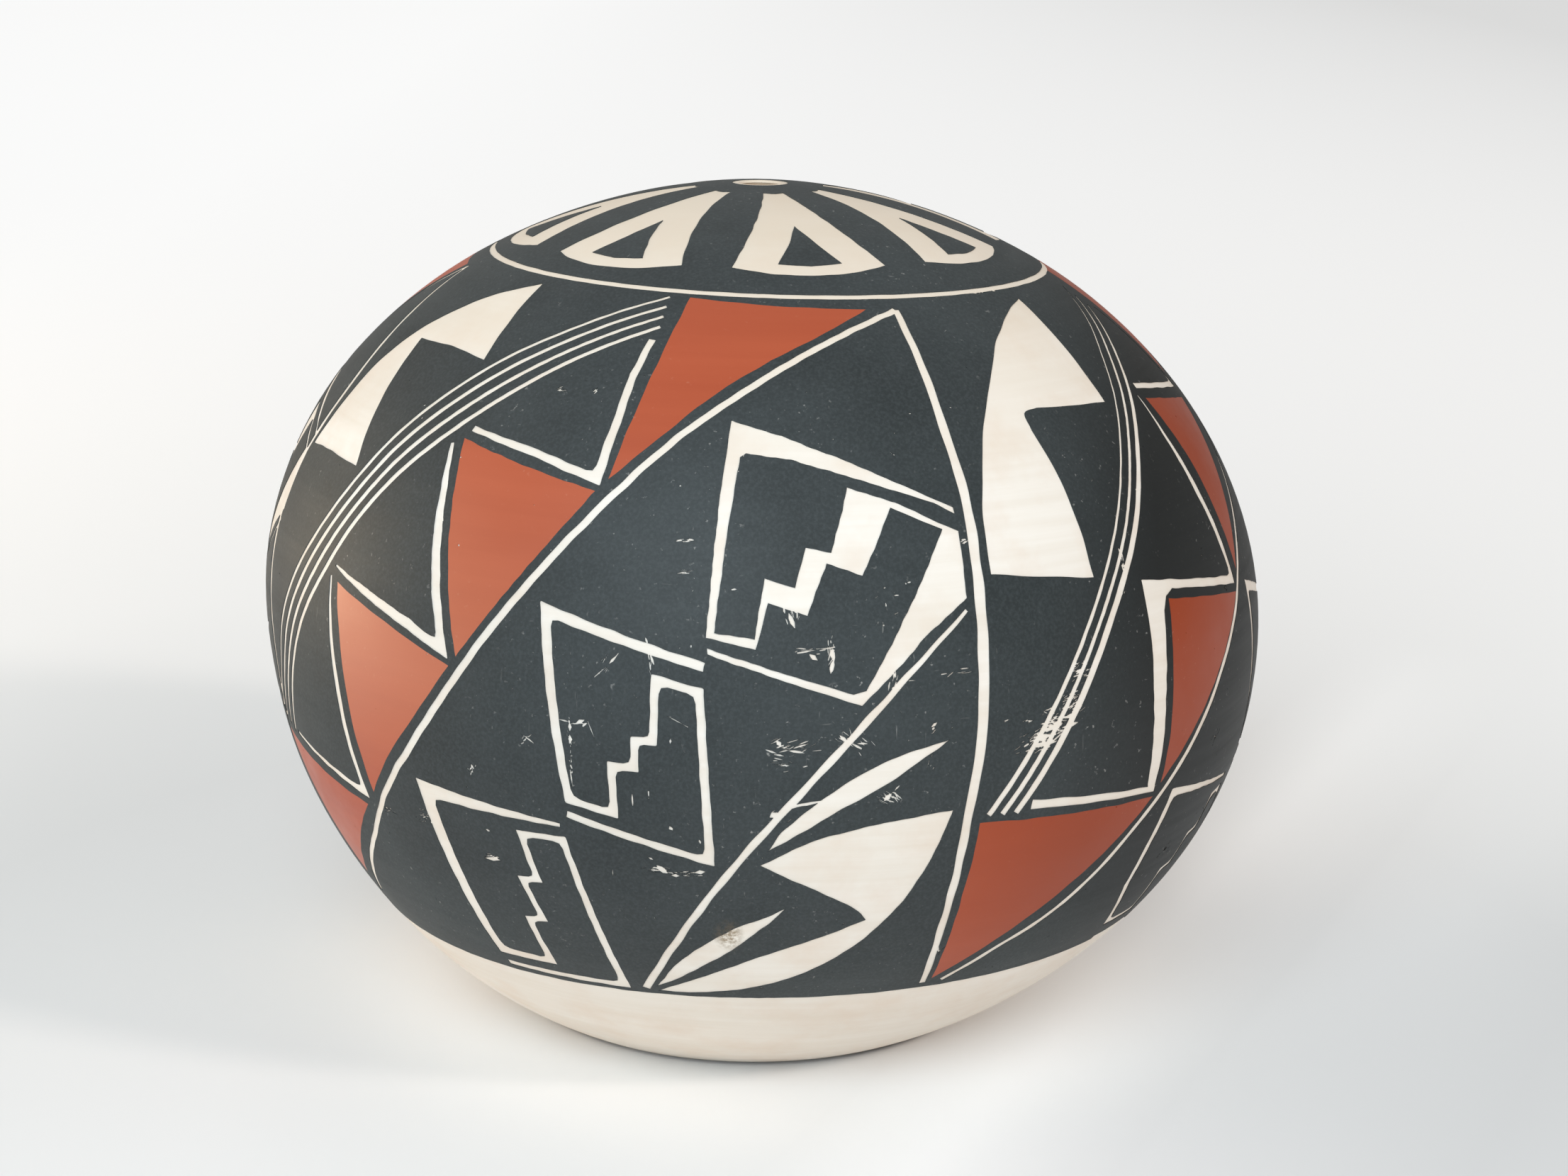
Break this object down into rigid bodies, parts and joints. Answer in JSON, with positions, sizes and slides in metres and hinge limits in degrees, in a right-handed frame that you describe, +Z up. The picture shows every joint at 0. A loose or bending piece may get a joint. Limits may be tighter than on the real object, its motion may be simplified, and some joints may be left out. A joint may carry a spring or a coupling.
{
  "type": "seed pot",
  "caption": "Round coil-built clay seed pot with a flat foot, a small round seed hole in the crown, white slip and a painted geometric band.",
  "frame": {"origin": "centre of the flat foot, on the surface that the pot stands on", "axes": "+Z up the axis of the pot to the seed hole; +X to the right and -Y to the viewer in the pictured view"},
  "size_m": [0.2004, 0.2004, 0.1666],
  "materials": {
    "clay": "matte",
    "white_slip": "stone-polished, satin",
    "black_paint": "matte mineral paint",
    "red_paint": "satin clay paint"
  },
  "bodies": {
    "root": {"base_dish": "clay", "coil_01": "clay", "coil_02": "clay", "coil_03": "clay", "coil_04": "clay", "coil_05": "clay", "coil_06": "clay", "coil_07": "clay", "coil_08": "clay", "coil_09": "clay", "coil_10": "clay", "coil_11": "clay", "coil_12": "clay", "coil_13": "clay", "mouth_ring": "clay", "white_slip": "white_slip", "black_paint": "black_paint"}
  },
  "joints": []
}
